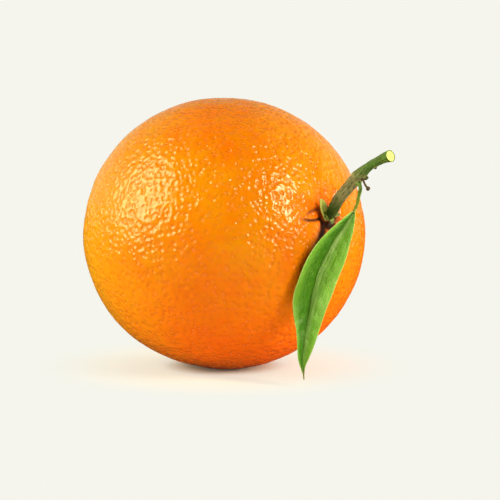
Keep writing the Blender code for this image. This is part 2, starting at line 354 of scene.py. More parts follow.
class NodeSheet:
    """A node tree under construction, with one short call for each kind of node that is used.

    A word in place of a number stands for the value of that name that the mesh holds.
    """

    def __init__(self, tree: bpy.types.NodeTree) -> None:
        """Start drawing in the given tree."""
        self.tree = tree

    def add(self, kind: str, **settings: object) -> bpy.types.Node:
        """Add a node and set its plain properties."""
        node = self.tree.nodes.new(kind)
        for name, value in settings.items():
            setattr(node, name, value)
        return node

    def feed(self, node: bpy.types.Node, inputs: dict) -> bpy.types.Node:
        """Set or link a node's inputs.

        Args:
            node: the node.
            inputs: numbers, colours, sockets or words, by the input's name or number. None
                leaves an input as it is.

        Returns:
            The same node.
        """
        for name, value in inputs.items():
            value = self.value_of(value) if isinstance(value, str) else value
            if isinstance(value, Socket):
                self.tree.links.new(value, node.inputs[name])
            elif value is not None:
                node.inputs[name].default_value = value
        return node

    def object_place(self) -> Socket:
        """The point on the piece, in metres, in the frame of the part."""
        return self.add("ShaderNodeTexCoord").outputs["Object"]

    def value_of(self, name: str) -> Socket:
        """A named value that the mesh holds."""
        return self.add("ShaderNodeAttribute", attribute_name=name).outputs["Fac"]

    def math(self, operation: str, *numbers: object, clamp: bool = False) -> Socket:
        """Arithmetic on one, two or three numbers."""
        node = self.add("ShaderNodeMath", operation=operation, use_clamp=clamp)
        return self.feed(node, dict(enumerate(numbers))).outputs[0]

    def times(self, first: object, second: object) -> Socket:
        """One number times another."""
        return self.math("MULTIPLY", first, second)

    def sums(self, start: object, *parts: tuple[object, float]) -> Socket:
        """Add to a first number each further value times its share.

        Args:
            start: the first number.
            parts: each further value with its share.

        Returns:
            The sum.
        """
        for value, share in parts:
            start = self.math("MULTIPLY_ADD", value, share, start)
        return start

    def noise(self, place: object, scale: object, detail: float = 3.0,
              rough: float = 0.5) -> Socket:
        """Cloudy noise from about 0.3 to 0.7."""
        return self.feed(self.add("ShaderNodeTexNoise"), {
            "Vector": place, "Scale": scale, "Detail": detail, "Roughness": rough}).outputs["Fac"]

    def cells(self, place: object, scale: object, smooth: float = 0.0) -> Socket:
        """Distance to the nearest of a scatter of points, as a share of their spacing."""
        node = self.add("ShaderNodeTexVoronoi", feature="SMOOTH_F1" if smooth > 0 else "F1")
        inputs = {"Vector": place, "Scale": scale, "Smoothness": smooth if smooth > 0 else None}
        return self.feed(node, inputs).outputs["Distance"]

    def between(self, value: object, low: object, high: object, start: float = 0.0,
                end: float = 1.0) -> Socket:
        """Smoothstep a value from low to high into start to end."""
        return self.feed(self.add("ShaderNodeMapRange", interpolation_type="SMOOTHSTEP"), {
            "Value": value, "From Min": low, "From Max": high, "To Min": start,
            "To Max": end}).outputs["Result"]

    def blend(self, share: object, first: object, second: object) -> Socket:
        """Blend two colours."""
        node = self.add("ShaderNodeMix", data_type="RGBA")
        return self.feed(node, {0: share, 6: as_colour(first), 7: as_colour(second)}).outputs[2]

    def layers(self, colour: object, *over: tuple) -> Socket:
        """Lay colours over a first one in turn.

        Args:
            colour: the first colour.
            over: for each further one, the colour, its mask, and the share of the mask if less
                than all of it counts.

        Returns:
            The last colour.
        """
        for shade, mask, *share in over:
            colour = self.blend(self.times(mask, share[0]) if share else mask, colour, shade)
        return colour

    def vector(self, x: object, y: object, z: object = 0.0) -> Socket:
        """Three numbers as one vector."""
        return self.feed(self.add("ShaderNodeCombineXYZ"), {0: x, 1: y, 2: z}).outputs[0]

    def bump(self, height: object, depth: float, strength: float = 1.0) -> Socket:
        """Tilt the surface as a relief of the given depth in millimetres would."""
        return self.feed(self.add("ShaderNodeBump"), {
            "Height": height, "Distance": depth * MM, "Strength": strength}).outputs["Normal"]

    def effect(self, kind: "Effect", **inputs: object) -> Socket:
        """Place a shared effect with its own values, and give its one output."""
        node = self.add("ShaderNodeGroup", node_tree=kind.tree())
        return self.feed(node, {name.replace("_", " ").capitalize(): value
                                for name, value in inputs.items()}).outputs[0]


def as_colour(value: object) -> object:
    """Give a plain colour its fourth number, and leave a socket as it is."""
    return (*value, 1.0) if isinstance(value, tuple) else value


def mottle(sheet: NodeSheet, place: Socket, scale: Socket, fine_share: Socket) -> Socket:
    """Soft patches of two sizes: cloudy noise, with a layer five times finer, spread to 0 to 1.

    Args:
        sheet: the group under construction.
        place: where the surface is.
        scale: wide patches in a metre.
        fine_share: how much the finer layer counts.

    Returns:
        The mask.
    """
    wide = sheet.noise(place, scale)
    fine = sheet.noise(place, sheet.times(scale, 5.0))
    blended = sheet.sums(wide, (sheet.math("SUBTRACT", fine, wide), fine_share))
    return sheet.between(blended, 0.32, 0.68)


def speckle(sheet: NodeSheet, place: Socket, scale: Socket, size: Socket) -> Socket:
    """Scattered round dots: 1 where the nearest of many points is closer than the dot's size."""
    return sheet.between(sheet.cells(place, scale), size, sheet.times(size, 1.8), 1.0, 0.0)


def streaks(sheet: NodeSheet, place: Socket, scale: Socket, sharpness: Socket) -> Socket:
    """Broken lines along a piece: noise on a place whose first number runs round or across it.

    Args:
        sheet: the group under construction.
        place: the stretched place.
        scale: lines in one unit of it.
        sharpness: half the width of their edges. Less is sharper.

    Returns:
        The mask.
    """
    coarse = sheet.noise(place, scale, 4.0, 0.6)
    low, high = (sheet.math(way, 0.5, sharpness) for way in ("SUBTRACT", "ADD"))
    return sheet.between(coarse, low, high)


class Effect(Enum):
    """Effects that more than one finish uses. Each is one node group, built the first time."""

    MOTTLE = "mottle"
    SPECKLE = "speckle"
    STREAKS = "streaks"

    def tree(self) -> bpy.types.NodeTree:
        """The effect's node group, with a place and two numbers in, and one mask out.

        Returns:
            The node group.
        """
        made = bpy.data.node_groups.get(self.value)
        if made:
            return made
        made = bpy.data.node_groups.new(self.value, "ShaderNodeTree")
        draw, *labels = EFFECTS[self]
        made.interface.new_socket("Place", in_out="INPUT", socket_type="NodeSocketVector")
        for label in labels:
            made.interface.new_socket(label, in_out="INPUT", socket_type="NodeSocketFloat")
        made.interface.new_socket("Mask", in_out="OUTPUT", socket_type="NodeSocketFloat")
        sheet = NodeSheet(made)
        entry = sheet.add("NodeGroupInput").outputs
        mask = draw(sheet, entry["Place"], *(entry[label] for label in labels))
        sheet.feed(sheet.add("NodeGroupOutput"), {"Mask": mask})
        return made


EFFECTS = {
    Effect.MOTTLE: (mottle, "Scale", "Fine share"),
    Effect.SPECKLE: (speckle, "Scale", "Size"),
    Effect.STREAKS: (streaks, "Scale", "Sharpness"),
}


# ---------------------------------------------------------------- finishes

@dataclass(frozen=True)
class Finish:
    """A material: plain values for its shader, and a drawing of what changes over the surface.

    Attributes:
        name: the material's name.
        roughness: used where the drawing feeds no roughness.
        specular: strength of the plain surface reflection.
        subsurface: share of the light that travels under the surface.
        glow_depth: how far that light travels, in millimetres, for red, green and blue.
    """

    name: str = "plain"
    roughness: float = 0.5
    specular: float = 0.5
    subsurface: float = 0.0
    glow_depth: Triple = (1.0, 0.4, 0.1)

    def draw(self, sheet: NodeSheet) -> dict[str, Socket]:
        """Draw the nodes that change over the surface, and give the shader's inputs by name."""
        return {}

    def material(self) -> bpy.types.Material:
        """Make the material, or find it if it was made before.

        Returns:
            The material.
        """
        made = bpy.data.materials.get(self.name)
        if made:
            return made
        made = bpy.data.materials.new(self.name)
        made.use_nodes = True
        sheet = NodeSheet(made.node_tree)
        shader = made.node_tree.nodes["Principled BSDF"]
        sheet.feed(shader, {
            "Roughness": self.roughness, "Specular IOR Level": self.specular,
            "Subsurface Weight": self.subsurface, "Subsurface Radius": self.glow_depth,
            "Subsurface Scale": MM})
        sheet.feed(shader, self.draw(sheet))
        return made


@dataclass(frozen=True)
class PeelFinish(Finish):
    """Waxy orange peel with oil pores, deep orange round the stem end, painted shade as deep orange
    low down, and painted light as gold towards the blossom end.

    Attributes:
        painted_shade_from: height in millimetres where the painted shade, deep orange low on the
            fruit, is strongest.
        painted_shade_to: height where that painted shade ends.
        pore_pitch: mean distance between two pores, in millimetres.
        pore_depth: of the pores' relief.
        pore_wander: how far the pores lie off their even scatter.
    """

    name: str = "orange_peel"
    specular: float = 0.46
    subsurface: float = 0.06
    glow_depth: Triple = (2.4, 0.8, 0.15)
    # Golden: random patches, and painted light towards the blossom end, on the side the left lamp
    # lights.
    golden: Triple = (0.59, 0.372, 0.005)
    orange: Triple = (0.62, 0.140, 0.0003)
    # Deep orange: random grain and round the stem end, and painted shade low on the fruit.
    deep: Triple = (0.93, 0.108, 0.0003)
    pore: Triple = (0.60, 0.100, 0.0005)
    # Near-black painted shade: in the creases, the pit beside the calyx, a ring round the calyx and
    # the leaf's cast shadow.
    crease_and_shade: Triple = (0.022, 0.003, 0.001)
    scar: Triple = (0.24, 0.12, 0.035)
    painted_shade_from: float = -4.0
    painted_shade_to: float = 42.0
    pore_pitch: float = 1.5
    pore_depth: float = 0.26
    pore_wander: float = 0.6

    def draw(self, sheet: NodeSheet) -> dict[str, Socket]:
        """Colour in soft patches, painted shade low down and painted light towards the blossom end,
        then pores, painted shade in the creases, and the scar, with pitted relief.

        Args:
            sheet: the material under construction.

        Returns:
            The shader's inputs by name.
        """
        place = sheet.object_place()
        patches = sheet.effect(Effect.MOTTLE, place=place, scale=38.0, fine_share=0.35)
        grains = sheet.effect(Effect.MOTTLE, place=place, scale=420.0, fine_share=0.5)
        height = sheet.feed(sheet.add("ShaderNodeSeparateXYZ"), {0: place}).outputs[2]
        # Painted shade: rises towards the bottom of the fruit, where less light falls.
        low = sheet.between(height, self.painted_shade_to * MM, self.painted_shade_from * MM)
        wander = sheet.feed(sheet.add("ShaderNodeTexNoise"),
                            {"Vector": place, "Scale": 700.0, "Detail": 1.0})
        bent = sheet.feed(sheet.add("ShaderNodeVectorMath", operation="MULTIPLY_ADD"), {
            0: wander.outputs["Color"], 1: (self.pore_wander * MM,) * 3, 2: place})
        glands = sheet.cells(bent.outputs[0], 1.0 / (self.pore_pitch * MM), 0.35)
        pits = sheet.times(sheet.between(glands, 0.0, 0.72, 1.0, 0.0), "calm")
        colour = sheet.layers(
            self.orange,
            (self.golden, patches, 0.35),
            # Painted light as gold towards the blossom end; painted shade as deep orange low down,
            # away from it.
            (self.golden, sheet.math("SUBTRACT", 1.0, "painted_light_gradient"), 0.70),
            (self.deep, sheet.times(low, "painted_light_gradient"), 0.80),
            (self.deep, grains, 0.22),
            (self.pore, pits, 0.16),
            (self.deep, "stem_end", 0.60),
            # Painted shade, near-black, in the creases, the pit, the ring round the calyx and the
            # leaf's cast shadow.
            (self.crease_and_shade, "crease_and_shade"),
            (self.scar, "scar"),
        )
        rough = sheet.sums(0.11, (grains, 0.07), (pits, 0.15), ("crease_and_shade", 0.55))
        fine = sheet.noise(place, 1500.0)
        relief = sheet.sums(sheet.math("SUBTRACT", 1.0, pits), (fine, 0.30))
        normal = sheet.bump(relief, self.pore_depth)
        return {"Base Color": colour, "Roughness": rough, "Normal": normal}


@dataclass(frozen=True)
class LeafFinish(Finish):
    """Citrus leaf: dark green above, with painted light as lighter green on its right half and left
    edge, painted glints beside the fold, paler below.
    """

    name: str = "citrus_leaf"
    specular: float = 0.90
    subsurface: float = 0.15
    glow_depth: Triple = (0.5, 0.9, 0.15)
    deep: Triple = (0.040, 0.172, 0.003)
    # Lighter green: painted light on the lit right half and left edge, and the oil glands' own
    # colour.
    fresh: Triple = (0.225, 0.480, 0.055)
    under: Triple = (0.26, 0.44, 0.11)
    vein: Triple = (0.24, 0.46, 0.08)
    edge: Triple = (0.48, 0.60, 0.20)
    # Pale green of the painted glints beside the fold.
    painted_glint: Triple = (0.80, 0.94, 0.56)
    dry: Triple = (0.28, 0.31, 0.10)

    def lines(self, sheet: NodeSheet, across: float, along: float, sharpness: float) -> Socket:
        """Broken lines along the blade, by how close they lie across and along it."""
        place = sheet.vector(sheet.times("across", across), sheet.times("along", along))
        return sheet.effect(Effect.STREAKS, place=place, scale=1.0, sharpness=sharpness)

    def draw(self, sheet: NodeSheet) -> dict[str, Socket]:
        """Painted light as lighter green by the way across, then painted glints, veins, margin and
        dry tip, with lines in relief.

        Args:
            sheet: the material under construction.

        Returns:
            The shader's inputs by name.
        """
        place = sheet.object_place()
        across = sheet.value_of("across")
        patches = sheet.effect(Effect.MOTTLE, place=place, scale=90.0, fine_share=0.35)
        glands = sheet.effect(Effect.SPECKLE, place=place, scale=1500.0, size=0.22)
        lines = self.lines(sheet, 14.0, 5.0, 0.16)
        glint_lines = self.lines(sheet, 20.0, 4.0, 0.07)
        # Painted light: the right half, facing the lamps, and the left edge, which catches light,
        # are made lighter.
        painted_lit_right_half = sheet.times(sheet.between(across, -0.10, 0.25), 0.78)
        painted_lit_left_edge = sheet.times(sheet.between(across, -0.98, -0.55, 1.0, 0.0), 0.6)
        light = sheet.math("MAXIMUM", painted_lit_right_half, painted_lit_left_edge)
        light = sheet.math("MULTIPLY_ADD", patches, 0.14, light, clamp=True)
        glint_by_fold = sheet.times(sheet.between(across, 0.02, 0.12), sheet.between(across, 0.55, 0.20))
        colour = sheet.layers(
            self.deep,
            # Painted light: lighter green where the light mask lies.
            (self.fresh, light),
            # Painted glints: pale streaks beside the fold, where the lamps would reflect.
            (self.painted_glint, sheet.times(glint_lines, glint_by_fold), 0.60),
            (self.fresh, glands, 0.25),
            (self.under, "underside", 0.85),
            (self.vein, "side_vein", 0.14),
            (self.vein, "midrib", 0.45),
            (self.edge, "margin", 0.60),
            (self.dry, "dry"),
        )
        rough = sheet.sums(0.24, (lines, 0.10), ("underside", 0.30), ("dry", 0.30))
        relief = sheet.sums(sheet.noise(place, 900.0, 4.0), (lines, 0.6), (glands, -0.25))
        return {"Base Color": colour, "Roughness": rough, "Normal": sheet.bump(relief, 0.22, 0.9)}


@dataclass(frozen=True)
class BarkFinish(Finish):
    """Young bark: dark green at the fruit, then brown wood, and green at the cut."""

    name: str = "twig_bark"
    specular: float = 0.38
    foot: Triple = (0.022, 0.048, 0.012)
    wood: Triple = (0.20, 0.155, 0.070)
    pale: Triple = (0.50, 0.46, 0.24)
    green: Triple = (0.062, 0.175, 0.016)
    fleck: Triple = (0.085, 0.055, 0.022)
    heartwood: Triple = (0.80, 0.84, 0.26)
    pith: Triple = (0.62, 0.64, 0.14)
    rim: Triple = (0.16, 0.10, 0.03)

    def draw(self, sheet: NodeSheet) -> dict[str, Socket]:
        """Bark colours by length, with streaks and flecks. The cut face has pith, rays and a rim.

        Args:
            sheet: the material under construction.

        Returns:
            The shader's inputs by name.
        """
        place, along = sheet.object_place(), sheet.value_of("along")
        radial = sheet.value_of("radial")
        grain = sheet.vector("turn_x", "turn_y", sheet.times(along, 1.6))
        lines = sheet.effect(Effect.STREAKS, place=grain, scale=4.2, sharpness=0.10)
        flecks = sheet.effect(Effect.STREAKS, place=grain, scale=11.0, sharpness=0.06)
        patches = sheet.effect(Effect.MOTTLE, place=place, scale=330.0, fine_share=0.5)
        wood = sheet.layers(self.wood, (self.foot, lines), (self.pale, flecks, 0.45))
        fresh = sheet.layers(self.green, (self.foot, lines, 0.35),
                             (self.fleck, sheet.times(flecks, patches), 0.7))
        greenness = sheet.between(sheet.sums(along, (patches, 0.10)), 0.58, 0.74)
        rays = sheet.noise(sheet.vector("turn_x", "turn_y"), 5.0, 2.0)
        face = sheet.layers(
            self.heartwood,
            (self.pith, rays, 0.25),
            (self.pith, sheet.between(radial, 0.30, 0.16)),
            (self.green, sheet.between(radial, 0.80, 0.92)),
            (self.rim, sheet.between(radial, 0.92, 0.99)),
        )
        colour = sheet.layers(
            self.foot,
            (self.green, lines, 0.5),
            (wood, sheet.between(along, 0.10, 0.36)),
            (fresh, greenness),
            (self.pale, "scar", 0.8),
            (face, "cut"),
        )
        rough = sheet.sums(0.50, (patches, 0.15))
        relief = sheet.sums(sheet.noise(place, 2200.0, 4.0), (flecks, 0.5))
        return {"Base Color": colour, "Roughness": rough, "Normal": sheet.bump(relief, 0.10, 0.8)}


@dataclass(frozen=True)
class GreenFinish(Finish):
    """Soft green plant tissue with lengthwise streaks that ages towards a second colour.

    Attributes:
        start: colour at the root.
        end: colour at the other end.
        streak: colour of the streaks.
        tip: colour of the very tip.
        turning: from and to which share of the length the one turns to the other.
    """

    name: str = "green_tissue"
    start: Triple = (0.05, 0.12, 0.012)
    end: Triple = (0.30, 0.36, 0.06)
    streak: Triple = (0.40, 0.45, 0.16)
    tip: Triple = (0.16, 0.10, 0.03)
    turning: tuple[float, float] = (0.2, 0.7)

    def draw(self, sheet: NodeSheet) -> dict[str, Socket]:
        """Blend the two colours by length, streak them, and brown the tip.

        Args:
            sheet: the material under construction.

        Returns:
            The shader's inputs by name.
        """
        place = sheet.object_place()
        patches = sheet.effect(Effect.MOTTLE, place=place, scale=300.0, fine_share=0.4)
        grain = sheet.vector("turn_x", "turn_y", "along")
        lines = sheet.effect(Effect.STREAKS, place=grain, scale=5.0, sharpness=0.12)
        wander = sheet.sums("along", (patches, 0.15))
        colour = sheet.layers(
            self.start,
            (self.end, sheet.between(wander, *self.turning)),
            (self.streak, lines, 0.30),
            (self.tip, sheet.between(wander, 1.0, 1.12)),
        )
        relief = sheet.math("ADD", lines, sheet.noise(place, 2500.0))
        return {"Base Color": colour, "Normal": sheet.bump(relief, 0.05, 0.7)}


@dataclass(frozen=True)
class DryFinish(Finish):
    """Dead dry tissue: dark brown with grey scuffs and a wrinkled surface."""

    name: str = "dry_wood"
    roughness: float = 0.72
    specular: float = 0.3
    dark: Triple = (0.040, 0.020, 0.010)
    light: Triple = (0.17, 0.11, 0.065)

    def draw(self, sheet: NodeSheet) -> dict[str, Socket]:
        """Brown in fine patches, with wrinkles.

        Args:
            sheet: the material under construction.

        Returns:
            The shader's inputs by name.
        """
        place = sheet.object_place()
        patches = sheet.effect(Effect.MOTTLE, place=place, scale=900.0, fine_share=0.5)
        colour = sheet.layers(self.dark, (self.light, patches, 0.6))
        normal = sheet.bump(sheet.noise(place, 3000.0), 0.08, 0.8)
        return {"Base Color": colour, "Normal": normal}


# ---------------------------------------------------------------- the fruit

@dataclass(frozen=True)
class Crease:
    """A fold line in the peel that runs out from the calyx, with shade painted on its floor.

    Attributes:
        angle: degrees round the stem end, from straight up towards the leaf side.
        start: where it begins, in millimetres from the fruit's axis.
        end: where it fades out.
        drift: degrees that it turns on its way out.
        depth: how deep it is at its middle.
        width: half its width.
        painted_shade: how much shade is painted on its floor, from 0 to 1.
    """

    angle: float
    start: float
    end: float
    drift: float
    depth: float
    width: float
    painted_shade: float

    def groove(self, distance: np.ndarray, angle: np.ndarray) -> np.ndarray:
        """How deep each point lies in the groove, from 0 to 1.

        Formula: a bell of the sideways distance from a line that turns evenly as it runs out,
        times a rise at its start and a fall at its end.

        Args:
            distance: of each point from the fruit's axis.
            angle: of each point round it, in radians.

        Returns:
            Array of depths.
        """
        share = (distance - self.start) / (self.end - self.start)
        line = math.radians(self.angle) + math.radians(self.drift) * share
        sideways = distance * ((angle - line + math.pi) % (2 * math.pi) - math.pi)
        ends = smoothstep(-0.15, 0.15, share) * smoothstep(1.05, 0.55, share)
        return bell(sideways, 0.0, self.width) * ends


@dataclass
class Fruit:
    """The orange: a spheroid with a dished stem end, a blossom scar, a flat foot and dimpled peel.

    Attributes:
        centre: the middle of the fruit.
        girth_radius: from its axis to the peel.
        axis_half_length: from the centre to either end.
        stem_end_turn: heading of the stem end, in degrees from +X towards +Y.
        stem_end_rise: how far it points up, in degrees.
        low_fullness: how much fuller the fruit is at its low front and high back.
        three_sidedness: how far its girth is from a circle.
        hollow_depth: of the narrow hollow round the calyx, over hollow_reach.
        dish_depth: of the wide dish round that, over dish_reach.
        fold_height: of the fold_count folds that run out from the calyx.
        scar_depth: of the blossom end's dimple, over scar_reach.
        foot_rounding: how softly the peel bends to the flat foot.
        pit_angle: middle of the arc-shaped pit beside the calyx, pit_spread degrees long.
        pit_distance: from the axis to the arc, which is pit_depth deep over pit_reach, with
            near-black shade painted in it.
        pebble_pitch: mean distance between two dimples, each pebble_depth deep.
        crowding: how much closer the points lie at the stem end.
        grid: squares along each edge of the cube that the peel's points come from.
        creases: the fold lines round the calyx.
    """

    centre: Triple = (0.0, 0.0, 37.4)
    girth_radius: float = 38.0
    axis_half_length: float = 40.8
    stem_end_turn: float = -40.7
    stem_end_rise: float = 12.4
    low_fullness: float = 0.011
    three_sidedness: float = 0.002
    hollow_depth: float = 1.7
    hollow_reach: float = 5.5
    dish_depth: float = 1.1
    dish_reach: float = 14.0
    fold_height: float = 0.30
    fold_count: int = 7
    scar_depth: float = 0.7
    scar_reach: float = 3.0
    foot_rounding: float = 0.10
    pit_angle: float = 190.0
    pit_spread: float = 75.0
    pit_distance: float = 3.0
    pit_depth: float = 1.1
    pit_reach: float = 1.35
    pebble_pitch: float = 2.3
    pebble_depth: float = 0.17
    crowding: float = 0.4
    grid: int = 128
    creases: tuple[Crease, ...] = (
        Crease(67.0, 3.8, 11.0, 26.0, 0.35, 0.48, 0.50),
        Crease(107.0, 2.4, 12.8, -17.0, 0.45, 0.45, 0.72),
        # Painted shadow: this wide, long groove carries the leaf's cast shadow beside the leaf.
        Crease(141.0, 2.4, 21.0, 2.0, 0.45, 1.60, 0.80),
        Crease(8.0, 4.4, 9.0, -12.0, 0.30, 0.80, 0.10),
        Crease(240.0, 2.6, 9.8, -10.0, 0.50, 0.80, 0.30),
        Crease(283.0, 3.2, 8.4, 16.0, 0.40, 0.80, 0.20),
        Crease(322.0, 3.2, 9.0, 9.0, 0.35, 0.80, 0.10),
    )

    def __post_init__(self) -> None:
        """Work out the fruit's own axes: towards the stem end, up across it, and sideways."""
        turn, rise = math.radians(self.stem_end_turn), math.radians(self.stem_end_rise)
        level = math.cos(rise)
        self.axis = np.array([level * math.cos(turn), level * math.sin(turn), math.sin(rise)])
        self.up = unit(np.array([0.0, 0.0, 1.0]) - self.axis[2] * self.axis)
        self.side = np.cross(self.axis, self.up)

    def place(self, side: np.ndarray, up: np.ndarray, along: np.ndarray) -> np.ndarray:
        """Points given across and along the fruit's axis, in the frame of the part."""
        side, up, along = (np.asarray(part, dtype=float)[..., None] for part in (side, up, along))
        return np.array(self.centre) + side * self.side + up * self.up + along * self.axis

    def stem_end_height(self, distance: np.ndarray, angle: np.ndarray) -> np.ndarray:
        """Height of the peel along the axis near the stem end.

        Formula: an ellipse in the distance from the axis, less a narrow and a wide bell, plus a
        cosine fold that is strongest one hollow's reach from the axis.

        Args:
            distance: of each point from the fruit's axis.
            angle: of each point round it, in radians.

        Returns:
            Array of heights above the centre.
        """
        flatness = np.clip(1.0 - (distance / self.girth_radius) ** 2, 0.0, 1.0)
        ellipse = self.axis_half_length * np.sqrt(flatness)
        reach = (distance / self.hollow_reach) ** 2
        hollow = (self.hollow_depth * np.exp(-reach)
                  + self.dish_depth * bell(distance, 0.0, self.dish_reach))
        folds = self.fold_height * np.cos(self.fold_count * angle + 0.6) * reach * np.exp(-reach)
        return ellipse - hollow + folds

    def sphere_directions(self) -> tuple[np.ndarray, np.ndarray]:
        """Even directions over a sphere, from a cube whose faces are square grids.

        Formula: grid lines at equal angles (the tangent of an even spread) on each of six faces,
        pushed out to the sphere. Points shared by two faces are merged into one. Each angle from
        the stem end is then cut by a share of its sine, which crowds the points there.

        Returns:
            The directions, and the faces as an array of quads.
        """
        spread = np.tan(np.linspace(-math.pi / 4, math.pi / 4, self.grid + 1))
        u, v = np.meshgrid(spread, spread, indexing="ij")
        ones = np.ones_like(u)
        sheets, quads = [], []
        number = np.arange((self.grid + 1) ** 2).reshape(self.grid + 1, self.grid + 1)
        square = np.stack([number[:-1, :-1], number[1:, :-1], number[1:, 1:], number[:-1, 1:]],
                          axis=-1).reshape(-1, 4)
        for turn in range(3):
            for sign in (1.0, -1.0):
                face = np.stack(np.roll([u, v, ones * sign], turn, axis=0), -1).reshape(-1, 3)
                quads.append((square if sign > 0 else square[:, ::-1]) + len(sheets) * number.size)
                sheets.append(unit(face))
        every = np.vstack(sheets)
        _, keep, back = np.unique(np.round(every, 6), axis=0, return_index=True,
                                  return_inverse=True)
        even = every[keep]
        polar = np.arccos(np.clip(even[:, 2], -1.0, 1.0))
        polar = polar - self.crowding * np.sin(polar)
        around = unit(even[:, :2] + np.array([1e-9, 0.0])) * np.sin(polar)[:, None]
        return np.column_stack([around, np.cos(polar)]), back.reshape(-1)[np.vstack(quads)]

    def relief(self, points: np.ndarray, calm: np.ndarray) -> np.ndarray:
        """Height of the peel's texture at each point, in millimetres.

        Formula: wide and narrow rolling hills, less a bell of the distance to the nearest of a
        scatter of pits, plus a low ridge where two pits are equally near.

        Args:
            points: the smooth surface.
            calm: 1 where the texture is full, 0 where the peel is smooth.

        Returns:
            Array of heights.
        """
        wander = np.column_stack([rolling(points, 2.6, 40 + k) for k in range(3)])
        near = nearest_seed(points + 0.5 * wander, self.pebble_pitch, 5)
        ridge = bell(near[:, 1] - near[:, 0], 0.0, 0.25)
        hills = 0.16 * rolling(points, 9.0, 1) + 0.08 * rolling(points, 3.8, 2)
        return hills + calm * (0.04 * ridge - self.pebble_depth * bell(near[:, 0], 0.0, 0.45))

    def sinking(self, distance: np.ndarray, angle: np.ndarray) -> tuple[np.ndarray, np.ndarray]:
        """How the creases and the pit beside the calyx sink the peel, and how much shade is painted
        in them.

        Formula: the grooves' depths are summed, and the strongest painted shade of them counts. The
        pit is a bell of the distance from a circle, times a bell of the angle from the arc's
        middle.

        Args:
            distance: of each point from the fruit's axis.
            angle: of each point round it, in radians.

        Returns:
            Depth in millimetres, and painted shade, of which 1 is the pit's own.
        """
        painted_shade, sunk = np.zeros(len(angle)), np.zeros(len(angle))
        for crease_and_shade in self.creases:
            groove = crease_and_shade.groove(distance, angle)
            sunk += crease_and_shade.depth * groove
            painted_shade = np.maximum(painted_shade, crease_and_shade.painted_shade * groove)
        off_pit = (angle - math.radians(self.pit_angle) + math.pi) % (2 * math.pi) - math.pi
        pit = (bell(distance, self.pit_distance, self.pit_reach)
               * bell(off_pit, 0.0, math.radians(self.pit_spread)))
        return sunk + self.pit_depth * pit, np.maximum(painted_shade, pit)

    def build(self) -> bpy.types.Object:
        """Make the peel as one closed surface and dress it.

        Formula: a spheroid, sunk near both ends and swelled by a cosine of three times the angle
        round it. The relief then moves each point outwards, and a soft maximum flattens the foot.

        Returns:
            The finished piece.
        """
        directions, quads = self.sphere_directions()
        polar = np.arccos(np.clip(directions[:, 2], -1.0, 1.0))
        angle = np.arctan2(directions[:, 0], directions[:, 1])
        distance = self.girth_radius * np.sin(polar)
        centre, front = np.array(self.centre), polar < math.pi / 2
        sunk, painted_shade = self.sinking(distance, angle)
        scar = bell(distance, 0.0, self.scar_reach) * ~front
        far = self.axis_half_length * np.cos(polar) + self.scar_depth * scar
        along = np.where(front, self.stem_end_height(distance, angle) - sunk, far)
        even = self.place(distance * np.sin(angle), distance * np.cos(angle), along) - centre
        facing = unit(even)
        uneven = (self.three_sidedness * np.cos(3 * angle)
                  - 2 * self.low_fullness * facing[:, 0] * facing[:, 2])
        points = centre + even * (1.0 + uneven * np.sin(polar) ** 2)[:, None]
        radii = np.array([self.girth_radius, self.girth_radius, self.axis_half_length])
        outward = unit(self.place(*(directions / radii).T) - centre)
        calm = 1.0 - 0.75 * bell(distance, 0.0, 4.5) * front - 0.8 * scar
        points = points + self.relief(points, calm)[:, None] * outward
        points[:, 2] = self.foot_rounding * np.logaddexp(0.0, points[:, 2] / self.foot_rounding)
        # Painted shade: a dark ring round the calyx, where the hollow is shaded.
        seat = 0.45 * bell(distance, 3.0, 1.0)
        blossom = 0.35 * bell(distance, 1.9, 0.8) + 1.1 * bell(distance, 0.0, 1.0)
        values = {
            "calm": calm,
            # Painted light and shade: 0 at the blossom end, painted golden as lit, rising to 1
            # towards the stem end.
            "painted_light_gradient": smoothstep(-1.0, 0.55, np.cos(polar)),
            # Painted shade: the creases, the pit, the leaf's cast shadow and the ring round the
            # calyx.
            "crease_and_shade": np.clip(1.5 * painted_shade + seat, 0.0, 1.0) * front,
            "stem_end": bell(distance, 0.0, 8.0) * front,
            "scar": np.clip(0.20 * scar + blossom * ~front, 0.0, 1.0),
        }
        return Surface(points, [quads], values).make("peel", PeelFinish(), "peel", ("fruit",))


# ---------------------------------------------------------------- calyx

@dataclass(frozen=True)
class Sepal:
    """One lobe of the calyx.

    Attributes:
        angle: degrees round the stem end.
        length: from the button's middle to the tip.
        width: half its greatest width.
        lift: how far its tip stands off the peel.
        root_shift: how far to the side its root lies.
        ageing: how far along the finish's colours its tip has come.
        cup: how much its edges rise, as a share of its half width.
    """

    angle: float
    length: float
    width: float
    lift: float
    root_shift: float = 0.0
    ageing: float = 0.05
    cup: float = 0.35


